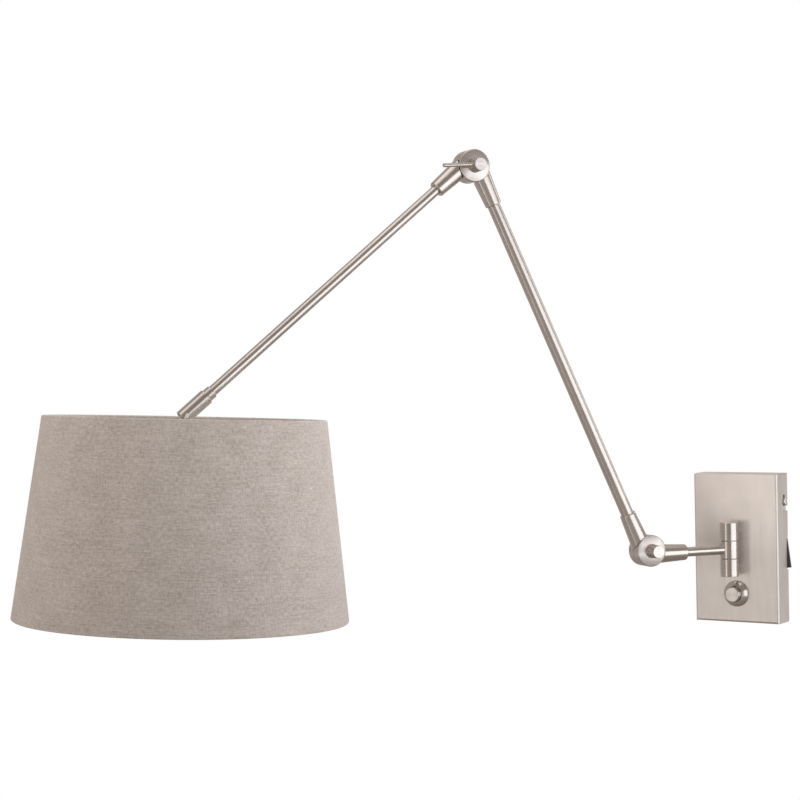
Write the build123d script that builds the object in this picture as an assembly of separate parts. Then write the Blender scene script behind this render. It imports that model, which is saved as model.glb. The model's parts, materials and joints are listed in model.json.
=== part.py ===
from build123d import *
import math
import os

# Wall lamp with a swivel, two elbows and a tilting shade.
# Millimetres. The origin is the middle of the wall bracket's back, +Z is up and the room is towards -Y.

# Clearances
running_gap = 0.05
seat_gap = 0.05
free_gap = 0.4

# Wall box: a drawn steel cover, open towards the wall
box_width = 90.0
box_height = 150.0
box_depth = 27.0
box_sheet = 1.5
box_edge_radius = 2.2
box_corner_radius = 1.0
wall_gap = 0.3

# Wall bracket: a folded steel strap with two ears
strap_switch_gap = 2.5
bracket_height = 124.0
bracket_sheet = 2.0
ear_height = 24.0
ear_depth = 16.0
wall_hole_spacing = 60.0
wall_hole_diameter = 5.2
wire_hole_diameter = 26.0
grommet_wall = 2.5
grommet_lip = 2.0

# Side screws and the L-shaped slots that hang on them
side_screw_height = 47.0
side_screw_inset = 9.0
side_screw_diameter = 4.0
side_screw_length = 8.0
side_head_diameter = 8.0
side_head_height = 2.2
side_drive_width = 1.0
side_drive_depth = 1.0
slot_width = 5.0
slot_entry_drop = 7.5
slot_end_rise = 6.5

# Terminal block
terminal_width = 34.0
terminal_height = 16.0
terminal_depth = 12.0
terminal_middle_height = 44.0
terminal_pole_count = 3
terminal_screw_diameter = 3.6
terminal_screw_depth = 5.0

# Barrel hinge: two fixed knuckles on posts, and the swivelling one between them
barrel_diameter = 18.4
barrel_standoff = 16.0
knuckle_height = 18.0
knuckle_split = 1.0
knuckle_edge_radius = 0.5
post_diameter = 7.0
stud_diameter = 6.0
knuckle_nut_flats = 10.0
knuckle_nut_height = 5.0
hinge_pin_diameter = 8.0
hinge_pin_cover = 2.0
hinge_head_diameter = 12.0
hinge_head_height = 4.0
hinge_drive_width = 1.6
hinge_drive_depth = 1.5
hinge_washer_diameter = 15.0

# Dimmer under the barrel
dimmer_height = -46.0
dimmer_body_diameter = 24.0
dimmer_body_depth = 12.0
dimmer_bush_diameter = 9.0
dimmer_bush_reach = 4.6
dimmer_nut_flats = 13.0
dimmer_nut_height = 2.4
dimmer_shaft_diameter = 6.0
dimmer_shaft_cover = 2.0
dimmer_shaft_depth = 8.0
collar_diameter = 26.4
collar_height = 8.0
collar_wall = 1.5
knob_diameter = 15.5
knob_reach = 12.0
knob_edge_radius = 1.2

# Rocker switch in a notch of the right side, next to the wall
rocker_length = 30.0
rocker_width = 1.8
rocker_thickness = 4.0
rocker_middle_height = -6.0
rocker_tilt = 7.5
rocker_hub_diameter = 6.0
rocker_pin_diameter = 2.0
rocker_front = 6.0
switch_width = 12.0
switch_depth = 12.0
switch_wall = 0.8
switch_wall_gap = 0.1

# Elbows: two discs with a friction washer between, and a tapered ferrule on each
elbow_diameter = 31.0
elbow_half_thickness = 9.6
elbow_split = 1.0
elbow_washer_diameter = 24.0
elbow_edge_radius = 0.8
lower_elbow_relief = 0.3
upper_elbow_relief = 0.8
lower_elbow_offset = 4.0
upper_elbow_offset = 5.6
ferrule_length = 42.5
ferrule_root_diameter = 19.0
ferrule_end_diameter = 15.6
ferrule_edge_radius = 1.2
tube_seat = 25.0

# Clamp screws
clamp_shank_diameter = 6.0
clamp_base_diameter = 13.8
clamp_end_diameter = 12.2
clamp_reach = 14.0
clamp_edge_radius = 0.5
clamp_nut_flats = 10.0
clamp_nut_height = 4.0
lever_diameter = 3.8
lever_length = 36.6
lever_standoff = 9.0
lever_seat = 3.5
lever_edge_radius = 0.8
lever_angle = -2.4

# Arms, at the pose of the photograph
swing_angle = 35.0
swing_reach = 93.3
swing_rod_diameter = 9.4
swing_rod_seat = 3.6
lower_arm_length = 415.0
lower_arm_diameter = 12.4
lower_arm_wall = 1.5
lower_arm_angle = 65.4
upper_arm_length = 363.8
upper_arm_diameter = 9.6
upper_arm_wall = 1.2
upper_arm_angle = -39.65

# Knuckle at the end of the upper arm
shade_knuckle_diameter = 14.4
shade_knuckle_length = 30.1
shade_knuckle_end = 4.4
shade_knuckle_edge_radius = 0.7
shade_knuckle_roof = 1.9
upper_collar_diameter = 11.9
upper_collar_length = 6.8
tilt_pin_diameter = 4.0
tongue_thickness = 4.6
tongue_radius = 5.0
tongue_length = 11.0
tongue_root_gap = 2.0

# Lampholder, hung from the tongue
shade_lean = 2.5
stem_flange_diameter = 13.0
stem_flange_height = 2.5
nipple_diameter = 10.0
nipple_length = 10.5
nipple_nut_flats = 14.0
nipple_nut_height = 3.0
cap_top_diameter = 18.0
holder_diameter = 35.0
cap_height = 21.5
cap_wall = 3.0
holder_height = 35.0
holder_roof = 7.0
holder_neck = 11.0
holder_flange_diameter = 44.0
holder_flange_height = 2.5
holder_skirt_diameter = 39.0
socket_diameter = 28.4
socket_shell_wall = 0.6
socket_shell_length = 26.0
socket_contact_diameter = 8.0
socket_contact_height = 3.0

# Bulb
bulb_cap_diameter = 26.4
bulb_cap_length = 24.0
bulb_tip_diameter = 9.0
bulb_tip_height = 1.5
bulb_diameter = 60.0
bulb_neck_diameter = 27.0
bulb_neck_length = 48.0
bulb_shoulder_angle = 25.0
bulb_glass_wall = 1.2

# Shade and its wire carrier
shade_top_diameter = 254.0
shade_bottom_diameter = 300.0
shade_height = 178.0
shade_drop = 3.4
fabric_thickness = 1.0
liner_thickness = 0.5
wire_diameter = 3.6
ring_inset = 4.0
fitter_diameter = 60.0
fitter_thickness = 2.0
ring_nut_diameter = 47.0
ring_nut_height = 8.0
ring_nut_edge_radius = 1.5
spoke_count = 3
spoke_turn = 30.0

ON_BASE = (Align.CENTER, Align.CENTER, Align.MIN)
ON_WALL = (Align.CENTER, Align.MAX, Align.CENTER)
HANGING = (Align.CENTER, Align.CENTER, Align.MAX)
UP = Vector(0, 0, 1)
nodes = {}


# Shapes that repeat

def bar(start, end, diameter):
    """A round bar between two points."""
    run = end - start
    return Plane(origin=start, z_dir=run) * Cylinder(diameter / 2, run.length, align=ON_BASE)


def hex_nut(flats, height, bore):
    """A hexagonal nut standing on the XY plane."""
    nut = extrude(RegularPolygon(flats / 2, 6, major_radius=False), height)
    return nut - Cylinder(bore / 2, height, align=ON_BASE)


def turned(outline):
    """A turned piece: (radius, height) points revolved about Z."""
    return revolve(Plane.XZ * make_face(Polyline(*outline, close=True)), Axis.Z)


def wire_ring(radius, height):
    """A closed ring of round wire about Z."""
    return Pos(0, 0, height) * Torus(radius, wire_diameter / 2)


# Wall bracket: strap against the wall, ears folded forward, wire hole with its grommet

switch_face = box_width / 2 - box_sheet - seat_gap
strap_width = 2 * (switch_face - switch_width - strap_switch_gap)
bracket_width = box_width - 2 * (box_sheet + free_gap)
strap = Box(strap_width, bracket_sheet, bracket_height, align=ON_WALL)
strap += Pos(0, 0, side_screw_height) * Box(bracket_width, bracket_sheet, ear_height, align=ON_WALL)
for side in (-1, 1):
    ear_middle = side * (bracket_width - bracket_sheet) / 2
    ear = Box(bracket_sheet, ear_depth, ear_height, align=ON_WALL)
    strap += Pos(ear_middle, 0, side_screw_height) * ear
    screw_bore = Cylinder(side_screw_diameter / 2 + seat_gap, 3 * bracket_sheet)
    strap -= Pos(ear_middle, -side_screw_inset, side_screw_height) * Rot(0, 90, 0) * screw_bore
    wall_hole = Rot(90, 0, 0) * Cylinder(wall_hole_diameter / 2, 3 * bracket_sheet)
    strap -= Pos(0, 0, side * wall_hole_spacing / 2) * wall_hole
strap -= Rot(90, 0, 0) * Cylinder(wire_hole_diameter / 2, 3 * bracket_sheet)
nodes["wall_bracket"] = strap

grommet_radius = wire_hole_diameter / 2 - seat_gap
grommet = Cylinder(grommet_radius, bracket_sheet, align=ON_BASE)
grommet += Pos(0, 0, bracket_sheet) * Cylinder(grommet_radius + grommet_lip, grommet_lip, align=ON_BASE)
grommet -= Cylinder(grommet_radius - grommet_wall, bracket_sheet + grommet_lip, align=ON_BASE)
nodes["wire_grommet"] = Rot(90, 0, 0) * grommet

# Terminal block on the strap

terminal = Box(terminal_width, terminal_depth, terminal_height, align=ON_WALL)
pole_pitch = terminal_width / terminal_pole_count
for pole in range(terminal_pole_count):
    pole_place = (pole - (terminal_pole_count - 1) / 2) * pole_pitch
    pole_hole = Cylinder(terminal_screw_diameter / 2, 2 * terminal_screw_depth)
    terminal -= Pos(pole_place, -terminal_depth, 0) * Rot(90, 0, 0) * pole_hole
nodes["terminal_block"] = Pos(0, -bracket_sheet, terminal_middle_height) * terminal

# Wall box: the drawn cover with its holes, slots and notch

shell_depth = box_depth - wall_gap
block = Box(box_width, shell_depth, box_height, align=ON_WALL)
folded_sides = fillet(block.edges().filter_by(Axis.Z).group_by(Axis.Y)[0], box_edge_radius)
folded_ends = fillet(block.edges().filter_by(Axis.X).group_by(Axis.Y)[0], box_edge_radius)
ground_corners = fillet(block.edges().filter_by(Axis.Y), box_corner_radius)
shell = folded_sides & folded_ends & ground_corners
hollow = Box(box_width - 2 * box_sheet, shell_depth - box_sheet, box_height - 2 * box_sheet, align=ON_WALL)
shell -= hollow
shell = Pos(0, -wall_gap, 0) * shell

knuckle_place = knuckle_height
for height in (-knuckle_place, knuckle_place):
    stud_hole = Cylinder(stud_diameter / 2 + seat_gap, 3 * box_sheet)
    shell -= Pos(0, -box_depth, height) * Rot(90, 0, 0) * stud_hole
bush_hole = Cylinder(dimmer_bush_diameter / 2 + seat_gap, 3 * box_sheet)
shell -= Pos(0, -box_depth, dimmer_height) * Rot(90, 0, 0) * bush_hole

slot_foot = side_screw_height - slot_entry_drop - slot_width / 2
slot_top = side_screw_height + slot_end_rise
slot_leg = Box(3 * box_sheet, slot_width, slot_top - slot_foot, align=ON_BASE)
slot_leg = Pos(0, -side_screw_inset, slot_foot) * slot_leg
slot_entry = Pos(0, 0, slot_foot) * Box(
    3 * box_sheet, side_screw_inset, slot_width, align=(Align.CENTER, Align.MAX, Align.MIN)
)
for side in (-1, 1):
    shell -= Pos(side * (box_width - box_sheet) / 2, 0, 0) * (slot_leg + slot_entry)

rocker_lean = math.radians(rocker_tilt)
rocker_rise = rocker_length / 2 * math.sin(rocker_lean)
rocker_sweep = rocker_length * math.cos(rocker_lean) + 2 * rocker_front * math.sin(rocker_lean)
rocker_setback = switch_wall_gap + switch_wall + free_gap
notch_depth = rocker_setback + rocker_width + free_gap
notch = Box(3 * box_sheet, notch_depth, rocker_sweep + 2 * free_gap, align=ON_WALL)
shell -= Pos((box_width - box_sheet) / 2, 0, rocker_middle_height) * notch
nodes["wall_box"] = shell

# Side screws: pan heads outside the cover, threads in the ears

screw = Cylinder(side_screw_diameter / 2, side_screw_length, align=HANGING)
screw_head = Cylinder(side_head_diameter / 2, side_head_height, align=ON_BASE)
screw_head = fillet(screw_head.edges().sort_by(Axis.Z)[-1], side_head_height / 2)
drive_slot = Box(side_head_diameter, side_drive_width, side_drive_depth, align=HANGING)
screw_head -= Pos(0, 0, side_head_height) * drive_slot
screw += screw_head
side_screws = []
for side in (-1, 1):
    screw_seat = Vector(side * (box_width / 2 + seat_gap), -side_screw_inset, side_screw_height)
    side_screws.append(Plane(origin=screw_seat, z_dir=(side, 0, 0)) * screw)
nodes["side_screws"] = Compound(children=side_screws)

# Barrel hinge: fixed knuckles with their posts and studs, nuts inside the box, screw and washers

barrel_place = Vector(0, -box_depth - barrel_standoff, 0)
barrel_top = 1.5 * knuckle_height
stud_end = -box_depth + box_sheet + knuckle_nut_height
fixed_knuckle_height = knuckle_height - knuckle_split / 2


def fixed_knuckle():
    """A knuckle standing on the XY plane with its post towards the wall, at the middle of a full knuckle."""
    body = Cylinder(barrel_diameter / 2, fixed_knuckle_height, align=ON_BASE)
    body = fillet(body.edges().sort_by(Axis.Z)[-1], knuckle_edge_radius)
    post_height = knuckle_height / 2 - knuckle_split / 2
    post_end = Vector(0, barrel_standoff, post_height)
    body += bar(Vector(0, 0, post_height), post_end, post_diameter)
    body += bar(post_end, Vector(0, stud_end - barrel_place.Y, post_height), stud_diameter)
    return body


pin_bore = Cylinder(hinge_pin_diameter / 2 + running_gap, fixed_knuckle_height, align=ON_BASE)
upper_knuckle = fixed_knuckle() - Pos(0, 0, -hinge_pin_cover) * pin_bore
nodes["upper_knuckle"] = Pos(barrel_place) * Pos(0, 0, (knuckle_height + knuckle_split) / 2) * upper_knuckle

head_bore = Cylinder(hinge_head_diameter / 2 + seat_gap, 2 * (hinge_head_height + seat_gap))
lower_knuckle = fixed_knuckle() - pin_bore - Pos(0, 0, fixed_knuckle_height) * head_bore
lower_knuckle = mirror(lower_knuckle, about=Plane.XY)
nodes["lower_knuckle"] = Pos(barrel_place) * Pos(0, 0, -(knuckle_height + knuckle_split) / 2) * lower_knuckle

knuckle_nuts = []
for height in (-knuckle_place, knuckle_place):
    nut = hex_nut(knuckle_nut_flats, knuckle_nut_height, stud_diameter + 2 * seat_gap)
    nut_seat = Vector(0, -box_depth + box_sheet, height)
    knuckle_nuts.append(Plane(origin=nut_seat, x_dir=(1, 0, 0), z_dir=(0, 1, 0)) * nut)
nodes["knuckle_nuts"] = Compound(children=knuckle_nuts)

hinge_seat = -barrel_top + hinge_head_height
hinge_end = barrel_top - hinge_pin_cover - seat_gap
hinge_screw = bar(Vector(0, 0, hinge_seat), Vector(0, 0, hinge_end), hinge_pin_diameter)
hinge_screw += Pos(0, 0, hinge_seat) * Cylinder(
    hinge_head_diameter / 2, hinge_head_height, align=HANGING
)
hinge_drive = Box(hinge_head_diameter, hinge_drive_width, hinge_drive_depth, align=ON_BASE)
hinge_screw -= Pos(0, 0, hinge_seat - hinge_head_height) * hinge_drive
nodes["hinge_screw"] = Pos(barrel_place) * hinge_screw

hinge_washer_height = knuckle_split - 2 * seat_gap
hinge_washer = Cylinder(hinge_washer_diameter / 2, hinge_washer_height)
hinge_washer -= Cylinder(hinge_pin_diameter / 2 + running_gap, hinge_washer_height)
hinge_washers = []
for height in (-knuckle_height / 2, knuckle_height / 2):
    hinge_washers.append(Pos(barrel_place) * Pos(0, 0, height) * hinge_washer)
nodes["hinge_washers"] = Compound(children=hinge_washers)

# Dimmer: body inside, bush through the front, nut and domed collar outside, knob on the shaft

dimmer_plane = Plane(origin=(0, -box_depth, dimmer_height), x_dir=(1, 0, 0), z_dir=(0, -1, 0))
dimmer_back = -box_sheet - seat_gap
dimmer = Pos(0, 0, dimmer_back - dimmer_body_depth) * Cylinder(
    dimmer_body_diameter / 2, dimmer_body_depth, align=ON_BASE
)
dimmer += bar(Vector(0, 0, dimmer_back), Vector(0, 0, dimmer_bush_reach), dimmer_bush_diameter)
shaft_foot = dimmer_back - dimmer_shaft_depth
shaft_tip = knob_reach - dimmer_shaft_cover
dimmer -= bar(
    Vector(0, 0, shaft_foot - seat_gap), Vector(0, 0, shaft_tip), dimmer_shaft_diameter + 2 * running_gap
)
nodes["dimmer_body"] = dimmer_plane * dimmer
nodes["dimmer_nut"] = dimmer_plane * hex_nut(
    dimmer_nut_flats, dimmer_nut_height, dimmer_bush_diameter + 2 * seat_gap
)
shaft = bar(Vector(0, 0, shaft_foot), Vector(0, 0, shaft_tip), dimmer_shaft_diameter)
nodes["dimmer_shaft"] = dimmer_plane * shaft

collar_mouth = knob_diameter / 2 + free_gap


def collar_dome(base_radius, height):
    """The solid of a dome: quarter of an ellipse revolved about Z."""
    arc = EllipticalCenterArc((0, 0), base_radius, height, start_angle=0, arc_size=90)
    outline = arc + Line((0, height), (0, 0)) + Line((0, 0), (base_radius, 0))
    return revolve(Plane.XZ * make_face(outline), Axis.Z)


collar = collar_dome(collar_diameter / 2, collar_height)
collar -= collar_dome(collar_diameter / 2 - collar_wall, collar_height - collar_wall)
collar -= Cylinder(collar_mouth, collar_height, align=ON_BASE)
nodes["dimmer_collar"] = dimmer_plane * collar

knob_foot = dimmer_bush_reach + free_gap
knob = Pos(0, 0, knob_foot) * Cylinder(knob_diameter / 2, knob_reach - knob_foot, align=ON_BASE)
knob = fillet(knob.edges().sort_by(Axis.Z)[-1], knob_edge_radius)
knob -= bar(Vector(0, 0, 0), Vector(0, 0, shaft_tip + seat_gap), dimmer_shaft_diameter + 2 * seat_gap)
nodes["dimmer_knob"] = dimmer_plane * knob

# Rocker: a slim paddle that tips about a pin along the depth of the box, in its housing

rocker_middle_depth = rocker_setback + rocker_width / 2
rocker_pivot = Vector(box_width / 2 + rocker_rise - rocker_front, -rocker_middle_depth, rocker_middle_height)
paddle = Box(rocker_thickness, rocker_width, rocker_length, align=(Align.MAX, Align.CENTER, Align.CENTER))
paddle = Pos(rocker_front, 0, 0) * paddle
paddle += Rot(90, 0, 0) * Cylinder(rocker_hub_diameter / 2, rocker_width)
paddle -= Rot(90, 0, 0) * Cylinder(rocker_pin_diameter / 2 + running_gap, 2 * rocker_width)
nodes["rocker"] = Pos(rocker_pivot) * Rot(0, -rocker_tilt, 0) * paddle

paddle_room_length = rocker_sweep + 2 * free_gap
switch = Box(
    switch_width,
    switch_depth,
    paddle_room_length + 2 * switch_wall,
    align=(Align.MAX, Align.MAX, Align.CENTER),
)
switch = Pos(switch_face, -switch_wall_gap, rocker_middle_height) * switch
paddle_room = Box(
    switch_width - switch_wall,
    rocker_width + 2 * free_gap,
    paddle_room_length,
    align=(Align.MAX, Align.CENTER, Align.CENTER),
)
switch -= Pos(switch_face, -rocker_middle_depth, rocker_middle_height) * paddle_room
switch += Pos(rocker_pivot) * Rot(90, 0, 0) * Cylinder(rocker_pin_diameter / 2, rocker_width + 2 * free_gap)
nodes["rocker_housing"] = switch

# Arm plane: upright, turned by the swing angle, and the places of the pivots in it

reach = Vector(-math.sin(math.radians(swing_angle)), -math.cos(math.radians(swing_angle)), 0)
elbow_axis = reach.cross(UP) * -1


def heading(angle):
    """A unit vector in the arm plane, so many degrees above the reach of the swing arm."""
    return reach * math.cos(math.radians(angle)) + UP * math.sin(math.radians(angle))


def arm_plane(place, along):
    """A local frame with X along an arm and Z away from the clamp heads."""
    return Plane(origin=place, x_dir=along, z_dir=-elbow_axis)


lower_along = heading(lower_arm_angle)
lower_inward = heading(lower_arm_angle + 90)
upper_along = heading(upper_arm_angle)
upper_outward = heading(upper_arm_angle + 90)
lower_pivot = barrel_place + reach * swing_reach + UP * lower_elbow_offset
lower_foot_place = lower_pivot - lower_inward * lower_elbow_offset
lower_head_place = lower_foot_place + lower_along * lower_arm_length
upper_pivot = lower_head_place - lower_inward * upper_elbow_offset
upper_foot_place = upper_pivot + upper_outward * upper_elbow_offset
tilt_pivot = upper_foot_place + upper_along * upper_arm_length

# Swing arm: middle knuckle of the barrel and the rod to the lower elbow

swing_knuckle_height = knuckle_height - knuckle_split
swing_knuckle = Cylinder(barrel_diameter / 2, swing_knuckle_height)
swing_knuckle -= Cylinder(hinge_pin_diameter / 2 + running_gap, swing_knuckle_height)
rod_foot = reach * (barrel_diameter / 2 - swing_rod_seat)
swing_knuckle -= bar(rod_foot, reach * barrel_diameter, swing_rod_diameter + 2 * seat_gap)
nodes["swing_knuckle"] = Pos(barrel_place) * swing_knuckle

seat_place = ferrule_length - tube_seat
nodes["swing_rod"] = bar(
    barrel_place + rod_foot + reach * seat_gap,
    barrel_place + reach * (swing_reach - seat_place),
    swing_rod_diameter,
)

# Elbow halves: a disc behind the parting plane and a ferrule along +X, off the pivot's line by the offset


def elbow_half(tube_diameter, offset, relief):
    """The half whose disc is on +Z and whose tube axis is so far off the pivot on -Y."""
    disc_height = elbow_half_thickness - elbow_split / 2
    disc = Cylinder(elbow_diameter / 2, disc_height, align=ON_BASE)
    disc = fillet(disc.edges().sort_by(Axis.Z)[-1], elbow_edge_radius)
    disc = Pos(0, 0, elbow_split / 2) * disc

    root_place = elbow_diameter / 4
    taper = make_face(
        Polyline(
            (root_place, 0),
            (root_place, ferrule_root_diameter / 2),
            (ferrule_length, ferrule_end_diameter / 2),
            (ferrule_length, 0),
            close=True,
        )
    )
    ferrule = revolve(taper, Axis.X)
    ferrule = fillet(ferrule.edges().group_by(Axis.X)[-1], ferrule_edge_radius)
    bore_foot = Vector(seat_place - seat_gap, 0, 0)
    ferrule -= bar(bore_foot, Vector(2 * ferrule_length, 0, 0), tube_diameter + 2 * seat_gap)
    ferrule = Pos(0, -offset, 0) * ferrule
    over_face = Cylinder(elbow_diameter / 2, ferrule_root_diameter, align=ON_BASE)
    ferrule -= Pos(0, 0, elbow_half_thickness) * over_face
    mate_room = Cylinder(
        elbow_diameter / 2 + relief, ferrule_root_diameter, align=HANGING
    )
    ferrule -= Pos(0, 0, elbow_split / 2) * mate_room
    shank_bore = Cylinder(clamp_shank_diameter / 2 + running_gap, 4 * elbow_half_thickness)
    return disc + ferrule - shank_bore


def nut_pocket(half):
    """The half with a hexagonal pocket for the clamp nut in its outer face."""
    pocket = extrude(
        RegularPolygon(clamp_nut_flats / 2 + seat_gap, 6, major_radius=False), clamp_nut_height + seat_gap
    )
    return half - Pos(0, 0, elbow_half_thickness - clamp_nut_height - seat_gap) * pocket


turn_over = Rot(180, 0, 0)
lower_frame = arm_plane(lower_pivot, lower_along)
upper_frame = arm_plane(upper_pivot, upper_along)
swing_half = elbow_half(swing_rod_diameter, lower_elbow_offset, lower_elbow_relief)
nodes["swing_elbow"] = arm_plane(lower_pivot, -reach) * turn_over * swing_half
lower_foot = elbow_half(lower_arm_diameter, lower_elbow_offset, lower_elbow_relief)
nodes["lower_arm_foot"] = lower_frame * nut_pocket(lower_foot)
lower_head = mirror(elbow_half(lower_arm_diameter, upper_elbow_offset, upper_elbow_relief), about=Plane.XZ)
nodes["lower_arm_head"] = arm_plane(upper_pivot, -lower_along) * turn_over * lower_head
upper_foot = elbow_half(upper_arm_diameter, upper_elbow_offset, upper_elbow_relief)
nodes["upper_arm_foot"] = upper_frame * mirror(nut_pocket(upper_foot), about=Plane.XZ)

# Friction washers, clamp nuts and clamp screws of the two elbows

washer_height = elbow_split - 2 * seat_gap
elbow_washer = Cylinder(elbow_washer_diameter / 2, washer_height)
elbow_washer -= Cylinder(clamp_shank_diameter / 2 + running_gap, washer_height)
clamp_nut = Pos(0, 0, elbow_half_thickness - clamp_nut_height) * hex_nut(
    clamp_nut_flats, clamp_nut_height, clamp_shank_diameter + 2 * running_gap
)
head_seat = -elbow_half_thickness - seat_gap
clamp_screw = turned(
    [
        (0, head_seat),
        (clamp_base_diameter / 2, head_seat),
        (clamp_end_diameter / 2, head_seat - clamp_reach),
        (0, head_seat - clamp_reach),
    ]
)
clamp_screw = fillet(clamp_screw.edges().group_by(Axis.Z)[0], clamp_edge_radius)
clamp_screw += bar(Vector(0, 0, head_seat), Vector(0, 0, elbow_half_thickness), clamp_shank_diameter)
for elbow, frame in (("lower", lower_frame), ("upper", upper_frame)):
    nodes[elbow + "_friction_washer"] = frame * elbow_washer
    nodes[elbow + "_clamp_nut"] = frame * clamp_nut
nodes["lower_clamp_screw"] = lower_frame * clamp_screw

# Lever: a bar through the side of the upper clamp head

lever_frame = arm_plane(upper_pivot - elbow_axis * (head_seat - lever_standoff), heading(lever_angle))
lever = bar(Vector(-lever_seat, 0, 0), Vector(lever_length, 0, 0), lever_diameter)
lever = fillet(lever.edges().filter_by(GeomType.CIRCLE), lever_edge_radius)
lever_hole = bar(
    Vector(-lever_seat - seat_gap, 0, 0), Vector(lever_length, 0, 0), lever_diameter + 2 * seat_gap
)
nodes["upper_clamp_screw"] = upper_frame * clamp_screw - lever_frame * lever_hole
nodes["upper_clamp_lever"] = lever_frame * lever

# Arm tubes

lower_tube_foot = lower_foot_place + lower_along * seat_place
lower_tube_head = lower_head_place - lower_along * seat_place
lower_tube = bar(lower_tube_foot, lower_tube_head, lower_arm_diameter)
lower_tube -= bar(lower_tube_foot, lower_tube_head, lower_arm_diameter - 2 * lower_arm_wall)
nodes["lower_arm_tube"] = lower_tube

# Knuckle at the end of the upper arm: a slotted sleeve on the tube, with a collar behind it

sleeve_tip = shade_knuckle_end
sleeve_back = sleeve_tip - shade_knuckle_length
slot_root = -tongue_radius - tongue_root_gap
tube_tip = slot_root - tongue_root_gap
upper_tube_foot = upper_foot_place + upper_along * seat_place
upper_tube_head = tilt_pivot + upper_along * tube_tip
upper_tube = bar(upper_tube_foot, upper_tube_head, upper_arm_diameter)
upper_tube -= bar(upper_tube_foot, upper_tube_head, upper_arm_diameter - 2 * upper_arm_wall)
nodes["upper_arm_tube"] = upper_tube

sleeve_frame = arm_plane(tilt_pivot, upper_along)
sleeve = bar(Vector(sleeve_back, 0, 0), Vector(sleeve_tip, 0, 0), shade_knuckle_diameter)
sleeve = fillet(sleeve.edges().filter_by(GeomType.CIRCLE), shade_knuckle_edge_radius)
sleeve -= bar(
    Vector(sleeve_back, 0, 0), Vector(tube_tip + seat_gap, 0, 0), upper_arm_diameter + 2 * seat_gap
)
tongue_slot = Box(
    shade_knuckle_length,
    shade_knuckle_diameter,
    tongue_thickness + 2 * free_gap,
    align=(Align.MIN, Align.MAX, Align.CENTER),
)
slot_roof = shade_knuckle_diameter / 2 - shade_knuckle_roof
sleeve -= Pos(slot_root, slot_roof, 0) * tongue_slot
pin_hole = Cylinder(tilt_pin_diameter / 2 + seat_gap, shade_knuckle_diameter)
nodes["shade_knuckle"] = sleeve_frame * (sleeve - pin_hole)
nodes["tilt_pin"] = sleeve_frame * Cylinder(tilt_pin_diameter / 2, shade_knuckle_diameter - 2 * free_gap)

collar_ring = bar(
    Vector(sleeve_back - upper_collar_length, 0, 0), Vector(sleeve_back, 0, 0), upper_collar_diameter
)
collar_ring = fillet(collar_ring.edges().filter_by(GeomType.CIRCLE), shade_knuckle_edge_radius)
collar_ring -= bar(
    Vector(sleeve_back - upper_collar_length, 0, 0),
    Vector(sleeve_back, 0, 0),
    upper_arm_diameter + 2 * seat_gap,
)
nodes["upper_arm_collar"] = sleeve_frame * collar_ring

# Shade head: a frame at the tilt pin with Z along the shade's axis and Y along the pin

head_axis = heading(90 + shade_lean)
head_frame = Plane(origin=tilt_pivot, x_dir=heading(shade_lean), z_dir=head_axis)

# Stem: an eye on the pin, a flange and a threaded nipple

stem = Rot(90, 0, 0) * Cylinder(tongue_radius, tongue_thickness)
stem += Box(2 * tongue_radius, tongue_thickness, tongue_length, align=HANGING)
stem -= Rot(90, 0, 0) * Cylinder(tilt_pin_diameter / 2 + running_gap, 2 * tongue_thickness)
flange_bottom = -tongue_length - stem_flange_height
stem += Pos(0, 0, flange_bottom) * Cylinder(stem_flange_diameter / 2, stem_flange_height, align=ON_BASE)
stem += bar(Vector(0, 0, flange_bottom - nipple_length), Vector(0, 0, flange_bottom), nipple_diameter)
nodes["lampholder_stem"] = head_frame * stem

nipple_nut = hex_nut(nipple_nut_flats, nipple_nut_height, nipple_diameter + 2 * seat_gap)
nut_foot = flange_bottom - cap_wall - nipple_nut_height - 2 * seat_gap
nodes["lampholder_nut"] = head_frame * Pos(0, 0, nut_foot) * nipple_nut

# Lampholder: cap, body with a flange and a skirt, socket shell and contact

cap_top = flange_bottom - seat_gap
cap_bottom = cap_top - cap_height
holder_cap = turned(
    [
        (nipple_diameter / 2 + seat_gap, cap_top),
        (cap_top_diameter / 2, cap_top),
        (holder_diameter / 2, cap_bottom),
        (holder_diameter / 2 - cap_wall, cap_bottom),
        (cap_top_diameter / 2, cap_top - cap_wall),
        (nipple_diameter / 2 + seat_gap, cap_top - cap_wall),
    ]
)
nodes["lampholder_cap"] = head_frame * holder_cap

holder_top = cap_bottom - seat_gap
holder_bottom = holder_top - holder_height
flange_top = holder_top - holder_neck
flange_foot = flange_top - holder_flange_height
socket_roof = holder_top - holder_roof
holder = turned(
    [
        (0, holder_top),
        (holder_diameter / 2, holder_top),
        (holder_diameter / 2, flange_top),
        (holder_flange_diameter / 2, flange_top),
        (holder_flange_diameter / 2, flange_foot),
        (holder_skirt_diameter / 2, flange_foot),
        (holder_skirt_diameter / 2, holder_bottom),
        (socket_diameter / 2, holder_bottom),
        (socket_diameter / 2, socket_roof),
        (0, socket_roof),
    ]
)
nodes["lampholder_body"] = head_frame * holder

contact_foot = socket_roof - seat_gap - socket_contact_height
contact = Pos(0, 0, contact_foot) * Cylinder(
    socket_contact_diameter / 2, socket_contact_height, align=ON_BASE
)
nodes["lampholder_contact"] = head_frame * contact

shell_radius = socket_diameter / 2 - seat_gap
socket_shell = Cylinder(shell_radius, socket_shell_length, align=HANGING)
socket_shell -= Cylinder(
    shell_radius - socket_shell_wall, socket_shell_length, align=HANGING
)
nodes["lampholder_shell"] = head_frame * Pos(0, 0, socket_roof - seat_gap) * socket_shell

# Bulb: cap with its tip on the contact, and a pear-shaped glass below

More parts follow.
